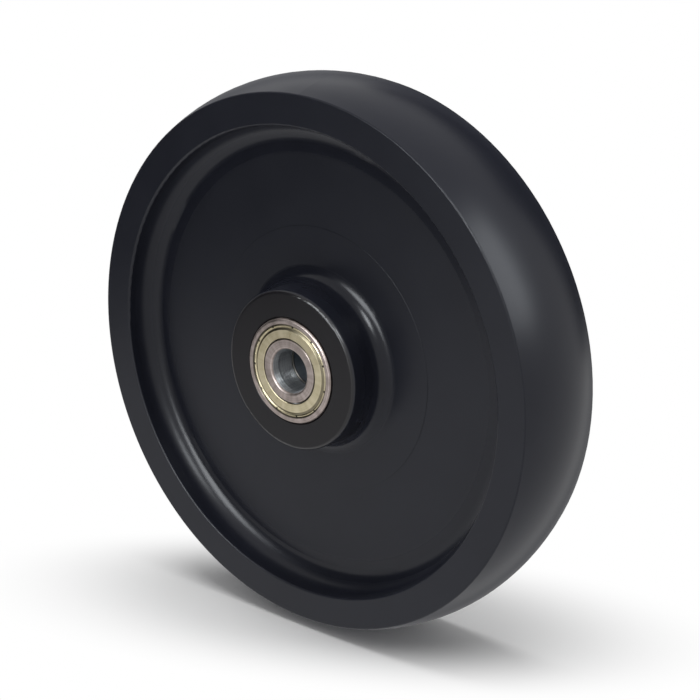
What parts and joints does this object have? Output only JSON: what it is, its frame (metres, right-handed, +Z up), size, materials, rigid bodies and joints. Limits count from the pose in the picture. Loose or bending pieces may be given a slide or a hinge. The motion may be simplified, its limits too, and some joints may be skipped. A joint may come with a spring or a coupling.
{
  "type": "polyamide wheel",
  "caption": "One-piece black polyamide wheel with crowned tread, dished web and a shielded ball bearing in each end of its hub; spins freely on a plain axle.",
  "frame": {"origin": "middle of the axle bore, half way across the wheel", "axes": "+Y along the axle towards the rear face, +Z up; the front face looks towards -Y"},
  "size_m": [0.25, 0.0628, 0.25],
  "materials": {
    "black_polyamide": "satin, turned all over",
    "ground_bearing_steel": "ground",
    "yellow_passivated_sheet": "zinc plated, pale yellow passivated",
    "pressed_cage_sheet": "pressed sheet steel",
    "polished_ball_steel": "polished",
    "zinc_plated_tube": "zinc plated"
  },
  "bodies": {
    "inner_rings": {"front_inner_ring": "ground_bearing_steel", "rear_inner_ring": "ground_bearing_steel", "spacer_tube": "zinc_plated_tube"},
    "wheel": {"wheel_body": "black_polyamide", "front_outer_ring": "ground_bearing_steel", "front_outboard_shield": "yellow_passivated_sheet", "front_inboard_shield": "yellow_passivated_sheet", "rear_outer_ring": "ground_bearing_steel", "rear_outboard_shield": "yellow_passivated_sheet", "rear_inboard_shield": "yellow_passivated_sheet"},
    "front_cage": {"front_cage_outboard_half": "pressed_cage_sheet", "front_cage_inboard_half": "pressed_cage_sheet", "front_cage_rivets": "pressed_cage_sheet"},
    "front_ball_1": {"front_ball_1": "polished_ball_steel"},
    "front_ball_2": {"front_ball_2": "polished_ball_steel"},
    "front_ball_3": {"front_ball_3": "polished_ball_steel"},
    "front_ball_4": {"front_ball_4": "polished_ball_steel"},
    "front_ball_5": {"front_ball_5": "polished_ball_steel"},
    "front_ball_6": {"front_ball_6": "polished_ball_steel"},
    "front_ball_7": {"front_ball_7": "polished_ball_steel"},
    "front_ball_8": {"front_ball_8": "polished_ball_steel"},
    "rear_cage": {"rear_cage_outboard_half": "pressed_cage_sheet", "rear_cage_inboard_half": "pressed_cage_sheet", "rear_cage_rivets": "pressed_cage_sheet"},
    "rear_ball_1": {"rear_ball_1": "polished_ball_steel"},
    "rear_ball_2": {"rear_ball_2": "polished_ball_steel"},
    "rear_ball_3": {"rear_ball_3": "polished_ball_steel"},
    "rear_ball_4": {"rear_ball_4": "polished_ball_steel"},
    "rear_ball_5": {"rear_ball_5": "polished_ball_steel"},
    "rear_ball_6": {"rear_ball_6": "polished_ball_steel"},
    "rear_ball_7": {"rear_ball_7": "polished_ball_steel"},
    "rear_ball_8": {"rear_ball_8": "polished_ball_steel"}
  },
  "joints": [
    {"name": "wheel_spin", "type": "hinge", "parent": "inner_rings", "child": "wheel", "pos_m": [0, 0, 0], "axis": [0, 1, 0], "continuous": true},
    {"name": "front_cage_spin", "type": "hinge", "parent": "inner_rings", "child": "front_cage", "pos_m": [0, -0.0244, 0], "axis": [0, 1, 0], "continuous": true},
    {"name": "front_ball_1_roll", "type": "hinge", "parent": "front_cage", "child": "front_ball_1", "pos_m": [0.01675, -0.0244, 0], "axis": [0, 1, 0], "continuous": true},
    {"name": "front_ball_2_roll", "type": "hinge", "parent": "front_cage", "child": "front_ball_2", "pos_m": [0.01184, -0.0244, 0.01184], "axis": [0, 1, 0], "continuous": true},
    {"name": "front_ball_3_roll", "type": "hinge", "parent": "front_cage", "child": "front_ball_3", "pos_m": [0, -0.0244, 0.01675], "axis": [0, 1, 0], "continuous": true},
    {"name": "front_ball_4_roll", "type": "hinge", "parent": "front_cage", "child": "front_ball_4", "pos_m": [-0.01184, -0.0244, 0.01184], "axis": [0, 1, 0], "continuous": true},
    {"name": "front_ball_5_roll", "type": "hinge", "parent": "front_cage", "child": "front_ball_5", "pos_m": [-0.01675, -0.0244, 0], "axis": [0, 1, 0], "continuous": true},
    {"name": "front_ball_6_roll", "type": "hinge", "parent": "front_cage", "child": "front_ball_6", "pos_m": [-0.01184, -0.0244, -0.01184], "axis": [0, 1, 0], "continuous": true},
    {"name": "front_ball_7_roll", "type": "hinge", "parent": "front_cage", "child": "front_ball_7", "pos_m": [0, -0.0244, -0.01675], "axis": [0, 1, 0], "continuous": true},
    {"name": "front_ball_8_roll", "type": "hinge", "parent": "front_cage", "child": "front_ball_8", "pos_m": [0.01184, -0.0244, -0.01184], "axis": [0, 1, 0], "continuous": true},
    {"name": "rear_cage_spin", "type": "hinge", "parent": "inner_rings", "child": "rear_cage", "pos_m": [0, 0.0244, 0], "axis": [0, 1, 0], "continuous": true},
    {"name": "rear_ball_1_roll", "type": "hinge", "parent": "rear_cage", "child": "rear_ball_1", "pos_m": [0.01675, 0.0244, 0], "axis": [0, 1, 0], "continuous": true},
    {"name": "rear_ball_2_roll", "type": "hinge", "parent": "rear_cage", "child": "rear_ball_2", "pos_m": [0.01184, 0.0244, 0.01184], "axis": [0, 1, 0], "continuous": true},
    {"name": "rear_ball_3_roll", "type": "hinge", "parent": "rear_cage", "child": "rear_ball_3", "pos_m": [0, 0.0244, 0.01675], "axis": [0, 1, 0], "continuous": true},
    {"name": "rear_ball_4_roll", "type": "hinge", "parent": "rear_cage", "child": "rear_ball_4", "pos_m": [-0.01184, 0.0244, 0.01184], "axis": [0, 1, 0], "continuous": true},
    {"name": "rear_ball_5_roll", "type": "hinge", "parent": "rear_cage", "child": "rear_ball_5", "pos_m": [-0.01675, 0.0244, 0], "axis": [0, 1, 0], "continuous": true},
    {"name": "rear_ball_6_roll", "type": "hinge", "parent": "rear_cage", "child": "rear_ball_6", "pos_m": [-0.01184, 0.0244, -0.01184], "axis": [0, 1, 0], "continuous": true},
    {"name": "rear_ball_7_roll", "type": "hinge", "parent": "rear_cage", "child": "rear_ball_7", "pos_m": [0, 0.0244, -0.01675], "axis": [0, 1, 0], "continuous": true},
    {"name": "rear_ball_8_roll", "type": "hinge", "parent": "rear_cage", "child": "rear_ball_8", "pos_m": [0.01184, 0.0244, -0.01184], "axis": [0, 1, 0], "continuous": true}
  ],
  "couplings": [
    {"joint": "front_cage_spin", "follows": "wheel_spin", "ratio": 0.61848},
    {"joint": "front_ball_1_roll", "follows": "wheel_spin", "ratio": 1.9916},
    {"joint": "front_ball_2_roll", "follows": "wheel_spin", "ratio": 1.9916},
    {"joint": "front_ball_3_roll", "follows": "wheel_spin", "ratio": 1.9916},
    {"joint": "front_ball_4_roll", "follows": "wheel_spin", "ratio": 1.9916},
    {"joint": "front_ball_5_roll", "follows": "wheel_spin", "ratio": 1.9916},
    {"joint": "front_ball_6_roll", "follows": "wheel_spin", "ratio": 1.9916},
    {"joint": "front_ball_7_roll", "follows": "wheel_spin", "ratio": 1.9916},
    {"joint": "front_ball_8_roll", "follows": "wheel_spin", "ratio": 1.9916},
    {"joint": "rear_cage_spin", "follows": "wheel_spin", "ratio": 0.61848},
    {"joint": "rear_ball_1_roll", "follows": "wheel_spin", "ratio": 1.9916},
    {"joint": "rear_ball_2_roll", "follows": "wheel_spin", "ratio": 1.9916},
    {"joint": "rear_ball_3_roll", "follows": "wheel_spin", "ratio": 1.9916},
    {"joint": "rear_ball_4_roll", "follows": "wheel_spin", "ratio": 1.9916},
    {"joint": "rear_ball_5_roll", "follows": "wheel_spin", "ratio": 1.9916},
    {"joint": "rear_ball_6_roll", "follows": "wheel_spin", "ratio": 1.9916},
    {"joint": "rear_ball_7_roll", "follows": "wheel_spin", "ratio": 1.9916},
    {"joint": "rear_ball_8_roll", "follows": "wheel_spin", "ratio": 1.9916}
  ]
}
